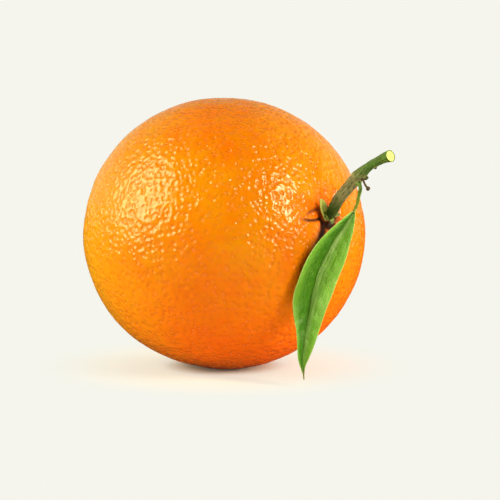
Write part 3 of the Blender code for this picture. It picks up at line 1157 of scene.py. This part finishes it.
@dataclass
class Calyx:
    """The button under the twig, with five pointed sepals that stand off the peel."""

    fruit: Fruit
    button_radius: float = 1.9
    button_height: float = 1.15
    clearance: float = 0.25
    thickness: float = 0.42
    steps: int = 44
    columns: int = 15
    sepals: tuple[Sepal, ...] = (
        Sepal(49.0, 6.4, 1.85, 0.85, 1.75, 1.0),
        Sepal(106.0, 3.2, 1.15, 0.20),
        Sepal(186.0, 2.9, 1.10, 0.20),
        Sepal(262.0, 3.6, 0.85, 0.60),
        Sepal(326.0, 3.6, 1.05, 0.40),
    )

    def sepal(self, shape: Sepal) -> Surface:
        """One sepal as a thin closed sheet.

        Formula: across a straight line from the axis outwards, the half width is a power of a
        sine, the height is the peel's own plus a lift that grows with a power of the length,
        and the edges rise with the square of the way across. The back is the same surface, moved
        in by the thickness.

        Args:
            shape: the sepal's sizes.

        Returns:
            The closed sheet, with the values that the finish reads.
        """
        share = np.linspace(0.02, 1.0, self.steps)[:, None]
        across = np.linspace(-1.0, 1.0, self.columns)[None, :]
        half_width = shape.width * np.sin(math.pi * share ** 0.75) ** 0.7 + 0.05
        run = shape.length * share + 0 * across
        sideways = half_width * across + shape.root_shift * (1.0 - share ** 1.5)
        angle = math.radians(shape.angle) + np.arctan2(sideways, run)
        distance = np.hypot(run, sideways)
        height = self.fruit.stem_end_height(distance, angle) + self.clearance + self.thickness
        height = height + shape.lift * share ** 1.6 + shape.cup * half_width * across ** 2
        height = height + 0.05 * np.cos(across * 7.0) * half_width
        thick = self.thickness * (1.0 - 0.6 * across ** 2) * (1.0 - 0.5 * share)
        side, up = distance * np.sin(angle), distance * np.cos(angle)
        rings = wrapped(self.fruit.place(side, up, height),
                        self.fruit.place(side, up, height - thick))
        aged = np.broadcast_to(share * shape.ageing, run.shape)
        wide = np.broadcast_to(across * 0.8, run.shape)
        return loft_surface(rings, rings[0].mean(0), rings[-1].mean(0), {"along": shape.ageing},
                            along=wrapped(aged, aged), turn_x=wrapped(wide, wide), turn_y=0.0)

    def button(self) -> Surface:
        """The button: a low dome with a wavy rim.

        Formula: rings whose radius swells five times on the way round, with a top that falls
        from the middle as a cosine and an underside that follows the peel.

        Returns:
            The closed dome, with the values that the finish reads.
        """
        angle = np.linspace(0.0, 2 * math.pi, 96, endpoint=False)[None, :]
        share = np.linspace(0.08, 1.0, 14)[:, None]
        waves = 0.09 * np.cos(5 * angle - math.radians(250.0)) + 0.02 * np.sin(13 * angle)
        distance = share * self.button_radius * (1.0 + waves)
        seat = self.fruit.stem_end_height(distance, angle) + self.clearance
        dome = self.button_height * np.cos(0.5 * math.pi * share ** 2) ** 0.6 + 0.25
        grain = 0.05 * np.cos(17 * angle + 4.0 * share) * share
        side, up = distance * np.sin(angle), distance * np.cos(angle)
        under = self.fruit.place(side, up, seat)
        over = self.fruit.place(side, up, seat + dome + grain)
        rings = np.concatenate([under, over[::-1]])
        along = 0.25 * np.concatenate([share, share[::-1]])
        return loft_surface(rings, under[0].mean(0), over[0].mean(0), {}, along=along,
                            turn_x=np.cos(angle), turn_y=np.sin(angle))

    def build(self) -> bpy.types.Object:
        """Make the button and its sepals as one piece and dress it.

        Returns:
            The finished piece.
        """
        surface = self.button()
        for shape in self.sepals:
            surface = surface.joined(self.sepal(shape))
        finish = GreenFinish(name="calyx_green", start=(0.040, 0.080, 0.012),
                             end=(0.60, 0.66, 0.15), streak=(0.62, 0.64, 0.24),
                             turning=(0.18, 0.46), roughness=0.5)
        return surface.make("calyx_lobes", finish, "calyx", ("calyx",))


# ---------------------------------------------------------------- twig, stalk, spur and buds

@dataclass(frozen=True)
class Knob:
    """A local swelling on the twig.

    Attributes:
        place: share of the twig's length.
        side: direction that it stands out to.
        height: how far it stands out.
        length: half its length along the twig, as a share of the twig's length.
        spread: half its width round the twig, in radians.
    """

    place: float
    side: Triple
    height: float
    length: float
    spread: float


@dataclass
class Twig:
    """The cut twig: woody below, a swollen node, and a thinner green part with a slanted cut."""

    fruit: Fruit
    foot_height: float = 39.35
    route: tuple[Triple, ...] = (
        (30.2, -27.7, 48.2), (31.6, -29.6, 50.8), (34.4, -31.8, 54.6), (36.4, -33.5, 57.0),
        (39.2, -35.8, 59.8), (42.6, -38.6, 62.0), (44.5, -40.5, 62.9))
    radii: tuple[float, ...] = (1.70, 1.62, 1.62, 1.60, 1.66, 1.22, 1.22, 1.62)
    steps: int = 190
    sides: int = 96
    seat_share: float = 0.115
    face_dip: float = 0.12
    scarred_from: float = 0.2
    knobs: tuple[Knob, ...] = (
        Knob(0.545, (-0.55, 0.1, 0.8), 0.20, 0.028, 0.70),
        Knob(0.590, (0.3, -0.8, 0.1), 0.20, 0.028, 0.60),
        Knob(0.520, (0.1, -0.35, -0.9), 0.30, 0.032, 0.55),
        Knob(0.605, (0.6, -0.2, -0.8), 0.32, 0.028, 0.60),
        Knob(0.330, (-0.4, -0.7, 0.5), 0.12, 0.030, 0.50),
        Knob(0.780, (0.3, -0.2, -0.9), 0.22, 0.018, 0.45),
    )

    def __post_init__(self) -> None:
        """Work out the middle line, its axes, and the plain radius along it."""
        foot = self.fruit.place(0.0, 0.0, self.foot_height)
        self.line = smooth_route((tuple(foot), *self.route), self.steps)
        self.share = np.linspace(0.0, 1.0, self.steps + 1)
        seated = np.exp(-(self.share / self.seat_share) ** 2)[:, None]
        free = unit(np.gradient(self.line, axis=0))
        directions = seated * self.fruit.axis + (1.0 - seated) * free
        self.along, self.across, self.beside = route_axes(self.line, directions)
        places = np.linspace(0.0, 1.0, len(self.radii))
        knots = smooth_route([(*knot, 0.0) for knot in zip(places, self.radii)], 300)
        self.radius = np.interp(self.share, knots[:, 0], knots[:, 1])

    def off_side(self, place: float, lean: Triple, clearance: float) -> tuple[np.ndarray, ...]:
        """A point off the side of the twig.

        Args:
            place: share of the twig's length.
            lean: the side that the point lies on.
            clearance: how far it stands off the bark.

        Returns:
            The point, and the unit directions outwards and along the twig there.
        """
        middle = np.array([np.interp(place, self.share, self.line[:, k]) for k in range(3)])
        direction = self.along[int(round(place * self.steps))]
        outward = unit(np.array(lean) - np.dot(lean, direction) * direction)
        reach = np.interp(place, self.share, self.radius) + clearance
        return middle + reach * outward, outward, direction

    def bark(self, angle: np.ndarray) -> tuple[np.ndarray, np.ndarray]:
        """The bark from the foot to the cut.

        Formula: rings across the middle line, whose radius is the plain one times lengthwise
        ridges, plus a bell for each knob, plus rolling hills.

        Args:
            angle: array (1, sides) of places round the twig.

        Returns:
            The rings, and how much of a knob's scar lies at each of their points.
        """
        share = self.share[:, None]
        outward = round_route(angle, self.across, self.beside)
        wood = 1.0 - smoothstep(0.55, 0.75, share)
        ridges = (np.cos(5 * angle + 5.0 * share) * 0.020
                  + np.cos(11 * angle - 9.0 * share) * 0.012)
        radius = self.radius[:, None] * (1.0 + ridges * (0.5 + wood))
        scars = np.zeros_like(radius)
        for knob in self.knobs:
            turned = np.arccos(np.clip(outward @ unit(np.array(knob.side)), -1.0, 1.0))
            swell = bell(share, knob.place, knob.length) * bell(turned, 0.0, knob.spread)
            radius = radius + knob.height * swell
            scars = np.maximum(scars, swell * (knob.height >= self.scarred_from))
        rings = self.line[:, None, :] + radius[:, :, None] * outward
        rough = rolling(rings.reshape(-1, 3), 1.1, 21, 2).reshape(radius.shape)
        return rings + (0.05 + 0.05 * wood)[:, :, None] * rough[:, :, None] * outward, scars

    def build(self) -> bpy.types.Object:
        """Make the bark and the cut face as one closed surface and dress it.

        Formula: the bark's rings, then rings that shrink from its last one to the pith and dip.

        Returns:
            The finished piece.
        """
        angle = np.linspace(0.0, 2 * math.pi, self.sides, endpoint=False)[None, :]
        bark, scars = self.bark(angle)
        shrink = np.array([0.985, 0.95, 0.90, 0.75, 0.60, 0.45, 0.30, 0.20, 0.10])
        ahead = self.along[-1]
        rim = bark[-1] - self.line[-1]
        dip = self.face_dip * (smoothstep(1.0, 0.86, shrink) - 0.5 * smoothstep(0.3, 0.0, shrink))
        face = self.line[-1] + shrink[:, None, None] * rim + (0.05 - dip)[:, None, None] * ahead
        rings = np.concatenate([bark, face])
        row = np.arange(len(rings))[:, None]
        radial = np.concatenate([np.ones(len(bark)), shrink])[:, None]
        surface = loft_surface(
            rings, self.line[0], self.line[-1] - 0.5 * self.face_dip * ahead,
            {"along": 1.0, "cut": 1.0},
            along=np.minimum(row / self.steps, 1.0), turn_x=np.cos(angle) * radial,
            turn_y=np.sin(angle) * radial, radial=radial, cut=row >= len(bark),
            scar=np.concatenate([scars, np.zeros((len(face), self.sides))]))
        return surface.make("twig", BarkFinish(), "bark", ("stem",))


@dataclass
class Rod:
    """A thin round piece along a route, such as the leaf stalk or the dry spur."""

    name: str
    route: np.ndarray
    radii: np.ndarray
    finish: Finish
    slot: str
    node: str
    ripple: float = 0.04
    sides: int = 40

    def build(self) -> bpy.types.Object:
        """Make the rod with slightly uneven sides and rounded ends, and dress it.

        Formula: rings across the route, whose radius is the given one times one plus two slow
        waves, one round the rod and one along it.

        Returns:
            The finished piece.
        """
        _, across, beside = route_axes(self.route)
        angle = np.linspace(0.0, 2 * math.pi, self.sides, endpoint=False)[None, :]
        share = np.linspace(0.0, 1.0, len(self.route))[:, None]
        waves = np.cos(3 * angle + 9.0 * share) + np.sin(23.0 * share + 2 * angle)
        radius = self.radii[:, None] * (1.0 + self.ripple * waves)
        rings = self.route[:, None, :] + radius[..., None] * round_route(angle, across, beside)
        surface = loft_surface(rings, self.route[0], self.route[-1], {"along": 1.0}, along=share,
                               turn_x=np.cos(angle), turn_y=np.sin(angle))
        return surface.make(self.name, self.finish, self.slot, (self.node,))


def leaf_stalk(twig: Twig) -> Rod:
    """The leaf stalk: from the underside of the node, down to the foot of the blade.

    Args:
        twig: the twig that it grows from.

    Returns:
        The stalk, ready to build.
    """
    foot, outward, _ = twig.off_side(0.52, (0.1, -0.35, -0.9), -0.25)
    knots = (tuple(foot), tuple(foot + 1.8 * outward), (36.4, -33.2, 51.2), (36.1, -32.0, 49.3),
             (35.6, -30.6, 47.8), (35.2, -30.55, 46.6))
    share = np.linspace(0.0, 1.0, 71)
    radii = 0.50 + 0.32 * bell(share, 0.0, 0.10) - 0.10 * smoothstep(0.8, 1.0, share)
    finish = GreenFinish(name="stalk_green", start=(0.075, 0.165, 0.020), end=(0.22, 0.27, 0.030),
                         streak=(0.30, 0.36, 0.08), turning=(0.35, 0.85), roughness=0.42)
    return Rod("leaf_stem", smooth_route(knots, 70), radii, finish, "stalk", "leaf_stalk")


def dry_spur(twig: Twig, reach: float = 4.1) -> Rod:
    """The dead spur below the node: thin and bent, with a swollen tip.

    Args:
        twig: the twig that it grows from.
        reach: its length.

    Returns:
        The spur, ready to build.
    """
    lean = np.array([0.42, -0.55, -0.72])
    foot, outward, _ = twig.off_side(0.59, tuple(lean), -0.2)
    ahead = unit(lean + 0.6 * outward)
    bent = np.cross(ahead, (0.0, -1.0, 0.0))
    knots = tuple(tuple(foot + reach * t * ahead + 0.28 * math.sin(math.pi * t) * bent)
                  for t in (0.0, 0.35, 0.7, 1.0))
    share = np.linspace(0.0, 1.0, 61)
    radii = 0.27 + 0.20 * bell(share, 0.0, 0.10) + 0.30 * bell(share, 0.86, 0.12)
    radii = radii * np.sqrt(np.clip(1.0 - smoothstep(0.93, 1.0, share), 0.04, 1.0))
    return Rod("dead_spur", smooth_route(knots, 60), radii, DryFinish(), "dry_wood", "dry_spur",
               0.10)


@dataclass
class Bud:
    """A bud on the twig: overlapping scales that close to a blunt point."""

    name: str
    node: str
    twig: Twig
    place: float
    lean: Triple
    length: float
    radius: float
    scales: int = 3

    def build(self) -> bpy.types.Object:
        """Make the bud and dress it.

        Formula: an egg whose radius is a sine of the way along it, stepped at the edge of each
        scale and waved round it, with its foot sunk in the bark.

        Returns:
            The finished piece.
        """
        middle, outward, along = self.twig.off_side(self.place, self.lean, 0.35 * self.radius)
        forward = unit(along + 0.55 * outward)
        across = unit(np.cross(forward, outward))
        share = np.linspace(0.02, 0.98, 36)[:, None]
        angle = np.linspace(0.0, 2 * math.pi, 36, endpoint=False)[None, :]
        step = 1.0 - 0.16 * ((share * self.scales + 0.25 * np.cos(2 * angle)) % 1.0)
        radius = self.radius * np.sin(math.pi * share ** 0.8) ** 0.7 * step
        run = ((share - 0.5) * self.length)[..., None]
        outwards = round_route(angle, across[None], np.cross(forward, across)[None])
        rings = middle + run * forward + radius[..., None] * outwards
        half = 0.5 * self.length * forward
        finish = DryFinish(name="bud_scale", dark=(0.045, 0.048, 0.014), light=(0.15, 0.13, 0.05),
                           roughness=0.6)
        surface = loft_surface(rings, middle - half, middle + half, {})
        return surface.make(self.name, finish, "bud", (self.node,))


# ---------------------------------------------------------------- leaf blade

@dataclass
class LeafBlade:
    """The leaf blade: a thin sheet folded up along its midrib, with side veins and a dry tip.

    Attributes:
        route: the midrib, from the stalk to the tip.
        half_width: from the midrib to the edge.
        taper: less than 1 puts the widest place nearer the stalk.
        thickness: of the blade near its stalk.
        wave: how much the edges wave, in degrees.
        fold: how far each half is turned up at the midrib, in degrees.
        curl: how much that slope falls on the way to the edge, in degrees.
        side_turn: how far the blade is turned to one side, in degrees.
        twist: how far it turns back round twist_place, over twist_spread.
        faces_to: where its upper side faces.
        vein_count: side veins in each half.
        steps: points along the blade.
        columns: points across each half.
    """

    route: tuple[Triple, ...] = (
        (35.6, -30.4, 47.5), (32.7, -30.4, 43.4), (29.8, -30.6, 39.4), (27.4, -30.8, 35.1),
        (25.4, -31.0, 30.6), (24.2, -31.2, 25.8), (23.3, -31.6, 20.9), (22.4, -32.5, 16.2),
        (21.7, -34.0, 11.4), (21.3, -34.6, 6.5), (21.9, -35.2, 2.0))
    half_width: float = 7.0
    taper: float = 0.80
    thickness: float = 0.30
    wave: float = 7.0
    fold: float = 42.0
    curl: float = 12.0
    side_turn: float = -16.0
    twist: float = 17.0
    twist_place: float = 0.58
    twist_spread: float = 0.17
    faces_to: Triple = (0.0, -1.0, 0.12)
    vein_count: float = 11.0
    steps: int = 300
    columns: int = 40

    def middle_surface(self) -> tuple[np.ndarray, ...]:
        """The sheet without its thickness.

        Formula: at each point of the midrib the sheet leaves both ways at the fold angle, turned
        by the twist, and its slope falls by the curl on the way to the edge. Steps of that slope
        are summed outwards from the midrib.

        Returns:
            Points (rows, columns, 3), the share along, the share across from -1 to 1, and the
            half width of each row.
        """
        line = smooth_route(self.route, self.steps)
        along = unit(np.gradient(line, axis=0))
        faces_to = np.array(self.faces_to)
        facing = unit(faces_to - (along @ faces_to)[:, None] * along)
        right = np.cross(facing, along)
        right = right * np.sign(right[:, :1])
        share = np.linspace(0.0, 1.0, self.steps + 1)
        half = self.half_width * np.sin(math.pi * share ** self.taper)
        half = np.maximum(half * (1.0 - 0.35 * smoothstep(0.88, 0.97, share)), 0.12)
        twist = self.side_turn + self.twist * bell(share, self.twist_place, self.twist_spread)
        mid = ((np.arange(self.columns) + 0.5) / self.columns)[None, :]
        step = (half / self.columns)[:, None, None]
        sides = []
        for side in (-1.0, 1.0):
            rise = (self.fold + side * twist)[:, None]
            swing = np.sin(2 * math.pi * (3.1 * share[:, None] + 0.15 * side))
            wave = self.wave * swing * mid ** 2
            slope = np.radians(rise + self.curl * (1.0 - 2.0 * mid) + wave)[..., None]
            move = (side * np.cos(slope) * right[:, None, :]
                    + np.sin(slope) * facing[:, None, :]) * step
            sides.append(line[:, None, :] + np.cumsum(move, axis=1))
        points = np.concatenate([sides[0][:, ::-1], line[:, None, :], sides[1]], axis=1)
        across = np.linspace(-1.0, 1.0, 2 * self.columns + 1)
        return points, share[:, None], across[None, :], half[:, None]

    def veins(self, share: np.ndarray, across: np.ndarray,
              half: np.ndarray) -> tuple[np.ndarray, ...]:
        """Where the veins lie.

        Formula: the midrib is a bell of the distance from it. Side veins are where a count that
        grows along the leaf and falls towards the edge, so that the veins lean to the tip,
        passes a whole number. The two sides are half a count apart. Between them the blade
        swells as a cosine of that count.

        Args:
            share: how far along the blade each row lies.
            across: how far across it each column lies.
            half: the half width of each row.

        Returns:
            How close each point lies to the midrib, and to a side vein, from 0 to 1, and how
            much it swells between them, from -1 to 1.
        """
        off = np.abs(across)
        midrib = bell(off * half, 0.0, 0.30 - 0.12 * share)
        count = share * self.vein_count - 0.85 * off ** 1.3 * half / 7.0 + 0.5 * (across > 0)
        side = bell(np.abs((count + 0.5) % 1.0 - 0.5), 0.0, 0.075) * smoothstep(1.0, 0.80, off)
        side = side * smoothstep(0.03, 0.10, off) * smoothstep(0.92, 0.80, share)
        return midrib, side, np.cos(2 * math.pi * (count + 0.5))

    def build(self) -> bpy.types.Object:
        """Make the blade as a closed sheet with veins in relief on both sides, and dress it.

        Formula: both faces lie half the thickness off the middle sheet. The swelling between
        the veins moves them together, the midrib stands out below, and veins sink in above.

        Returns:
            The finished piece.
        """
        points, share, across, half = self.middle_surface()
        normal = unit(np.cross(np.gradient(points, axis=0), np.gradient(points, axis=1)))
        off = np.abs(across)
        midrib, side, swell = self.veins(share, across, half)
        swell = 0.055 * swell * smoothstep(0.05, 0.3, off) * smoothstep(1.0, 0.8, off)
        edge = 0.35 + 0.65 * smoothstep(1.0, 0.9, off)
        thick = 0.5 * self.thickness * edge * (1.0 - 0.5 * share)
        over = thick + swell - 0.05 * midrib - 0.03 * side
        under = thick - swell + 0.30 * midrib * (1.0 - 0.6 * share) + 0.05 * side
        rings = wrapped(points - under[..., None] * normal, points + over[..., None] * normal)
        layers = {"midrib": midrib, "side_vein": side, "margin": smoothstep(0.94, 0.99, off),
                  "dry": smoothstep(0.945, 0.985, share + 0.02 * off), "along": share,
                  "across": across}
        spread = {name: np.broadcast_to(layer, over.shape) for name, layer in layers.items()}
        values = {name: wrapped(layer, layer) for name, layer in spread.items()}
        values["underside"] = wrapped(np.ones_like(over), np.zeros_like(over))
        surface = loft_surface(rings, rings[0].mean(0), rings[-1].mean(0), {"dry": 1.0}, **values)
        return surface.make("leaf", LeafFinish(), "leaf", ("leaf_blade",))


# ---------------------------------------------------------------- studio

@dataclass(frozen=True)
class SoftBox:
    """A rectangular lamp that faces the fruit.

    Attributes:
        name: the lamp's name.
        direction: from the fruit to the lamp.
        distance: between the two, in millimetres.
        size: width and height, in millimetres.
        power: in watts.
        colour: of its light.
        mirrored: False keeps the lamp out of reflections, as a matt card would be.
    """

    name: str
    direction: Triple
    distance: float
    size: tuple[float, float]
    power: float
    colour: Triple
    mirrored: bool = True

    def hang(self, aim: Triple) -> None:
        """Put the lamp in the scene.

        Args:
            aim: the point that it faces, in millimetres.
        """
        data = bpy.data.lights.new(self.name, "AREA")
        data.shape = "RECTANGLE"
        data.size, data.size_y = self.size[0] * MM, self.size[1] * MM
        data.energy = self.power
        data.color = self.colour
        lamp = in_scene(self.name, data)
        away = Vector(unit(np.array(self.direction)))
        lamp.location = Vector(aim) * MM + away * self.distance * MM
        lamp.rotation_euler = away.to_track_quat("Z", "Y").to_euler()
        lamp.visible_glossy = self.mirrored


@dataclass
class Studio:
    """Camera, four soft lamps, pale surroundings and a pale floor.

    Attributes:
        paper: colour of the floor and the background.
        camera_fall: how far the camera looks down, in degrees.
        camera_distance: from the camera to the aim, in millimetres.
        frame_width: width of the view at the aim.
        aim: the middle of the view.
        sensor: width of the camera's sensor.
        daylight: colour of the light from all round.
        matt_paper: colour of the light that the floor throws back on the fruit.
        front_fill: strength of the light from the front.
        back_fill: strength of the light from behind.
        back_shine: strength of the surroundings behind, in reflections.
        floor_shine: strength of the floor, in reflections.
        shadow_share: how much of the soft shadow round the fruit is seen.
        shadow_reach: how far from the middle it ends.
        contact_share: how much of the shadow right under the fruit is seen.
        floor_half: half the floor's width.
        floor_gap: how far the floor lies under the fruit.
        boxes: the lamps.
    """

    paper: Triple = (0.913, 0.913, 0.845)
    camera_fall: float = 7.0
    camera_distance: float = 750.0
    frame_width: float = 140.45
    aim: Triple = (7.30, -0.56, 32.9)
    sensor: float = 36.0
    daylight: Triple = (1.0, 0.97, 0.78)
    matt_paper: Triple = (0.74, 0.68, 0.68)
    front_fill: float = 0.05
    back_fill: float = 1.35
    back_shine: float = 0.60
    floor_shine: float = 0.03
    shadow_share: float = 0.42
    shadow_reach: float = 56.0
    contact_share: float = 0.95
    floor_half: float = 3000.0
    floor_gap: float = 0.05
    boxes: tuple[SoftBox, ...] = (
        SoftBox("left_box", (-0.89, -0.16, 0.43), 520.0, (320.0, 400.0), 4.0, (1.0, 0.98, 0.52)),
        SoftBox("right_box", (0.67, -0.50, 0.50), 600.0, (130.0, 360.0), 3.7, (1.0, 0.97, 0.60)),
        SoftBox("rim_box", (0.93, 0.18, 0.02), 520.0, (200.0, 260.0), 5.2, (1.0, 0.98, 0.62),
                False),
        SoftBox("low_card", (-0.10, -0.98, -0.05), 620.0, (500.0, 60.0), 1.30, (1.0, 0.92, 0.60),
                False),
    )

    def camera(self) -> None:
        """Set the camera: a long lens, looking a little down at the fruit."""
        fall = math.radians(self.camera_fall)
        ahead = np.array([0.0, math.cos(fall), -math.sin(fall)])
        data = bpy.data.cameras.new("camera")
        data.sensor_width = self.sensor
        data.lens = self.sensor * self.camera_distance / self.frame_width
        data.clip_start = 0.05
        data.clip_end = 20.0
        camera = in_scene("camera", data)
        camera.location = Vector((np.array(self.aim) - ahead * self.camera_distance) * MM)
        camera.rotation_euler = (math.radians(90.0) - fall, 0.0, 0.0)
        bpy.context.scene.camera = camera

    def surroundings(self) -> None:
        """Pale paper behind the fruit, and a dim room in front of it."""
        world = bpy.data.worlds.new("surroundings")
        bpy.context.scene.world = world
        world.use_nodes = True
        sheet = NodeSheet(world.node_tree)
        place = sheet.add("ShaderNodeTexCoord").outputs["Generated"]
        heading = sheet.feed(sheet.add("ShaderNodeSeparateXYZ"), {0: place}).outputs
        paths = sheet.add("ShaderNodeLightPath").outputs
        lit = sheet.between(heading[1], -0.1, 0.8, self.front_fill, self.back_fill)
        shine = sheet.times(sheet.between(heading[1], -0.1, 0.8, 0.0, self.back_shine),
                            sheet.between(heading[2], 0.5, 0.1, 0.25, 1.0))
        unseen = sheet.sums(lit, (sheet.math("SUBTRACT", shine, lit), paths["Is Glossy Ray"]))
        rest = sheet.math("SUBTRACT", 1.0, unseen)
        strength = sheet.sums(unseen, (rest, paths["Is Camera Ray"]))
        colour = sheet.blend(paths["Is Camera Ray"], self.daylight, self.paper)
        sheet.feed(world.node_tree.nodes["Background"], {"Color": colour, "Strength": strength})

    def paper_material(self) -> bpy.types.Material:
        """The floor's paper, so bright that shadows on it are faint and end near the fruit.

        Returns:
            The material.
        """
        made = bpy.data.materials.new("pale_paper")
        made.use_nodes = True
        sheet = NodeSheet(made.node_tree)
        nodes = made.node_tree.nodes
        nodes.remove(nodes["Principled BSDF"])
        paths = sheet.add("ShaderNodeLightPath").outputs
        seen, mirrored = paths["Is Camera Ray"], paths["Is Glossy Ray"]
        glow = sheet.feed(sheet.add("ShaderNodeEmission"), {
            "Color": as_colour(self.paper),
            "Strength": sheet.sums(seen, (mirrored, self.floor_shine))})
        matt = sheet.feed(sheet.add("ShaderNodeBsdfDiffuse"), {"Color": as_colour(self.matt_paper)})
        away = sheet.feed(sheet.add("ShaderNodeVectorMath", operation="LENGTH"),
                          {0: sheet.object_place()}).outputs["Value"]
        reach = self.shadow_reach * MM
        wide = sheet.between(away, 0.35 * reach, reach, self.shadow_share, 0.0)
        close = sheet.between(away, 0.15 * reach, 0.45 * reach, self.contact_share, 0.0)
        bare = sheet.math("SUBTRACT", 1.0, sheet.math("MAXIMUM", wide, close))
        mixed = sheet.feed(sheet.add("ShaderNodeMixShader"), {
            0: sheet.sums(mirrored, (seen, bare)), 1: matt.outputs[0], 2: glow.outputs[0]})
        sheet.feed(nodes["Material Output"], {"Surface": mixed.outputs[0]})
        return made

    def floor(self) -> None:
        """A pale sheet under the fruit."""
        half, low = self.floor_half, -self.floor_gap
        corners = np.array([(-half, -half, low), (half, -half, low), (half, half, low),
                            (-half, half, low)])
        mesh = bpy.data.meshes.new("floor")
        mesh.from_pydata((corners * MM).tolist(), [], [(0, 1, 2, 3)])
        mesh.materials.append(self.paper_material())
        in_scene("floor", mesh)

    def build(self) -> None:
        """Set up everything that isn't part of the object."""
        bpy.context.scene.view_settings.view_transform = "Standard"
        bpy.context.scene.view_settings.look = "None"
        self.camera()
        self.surroundings()
        self.floor()
        for box in self.boxes:
            box.hang(self.aim)


# ---------------------------------------------------------------- main

def main() -> None:
    """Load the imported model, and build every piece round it."""
    logging.basicConfig(level=logging.INFO, format="%(message)s")
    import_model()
    Studio().build()
    fruit = Fruit()
    fruit.build()
    Calyx(fruit).build()
    twig = Twig(fruit)
    twig.build()
    leaf_stalk(twig).build()
    LeafBlade().build()
    dry_spur(twig).build()
    Bud("node_bud", "bud_lower", twig, 0.61, (0.6, -0.2, -0.8), 1.7, 0.65).build()
    Bud("top_bud", "bud_upper", twig, 0.78, (0.3, -0.2, -0.9), 0.85, 0.40).build()


if __name__ == "__main__":
    main()
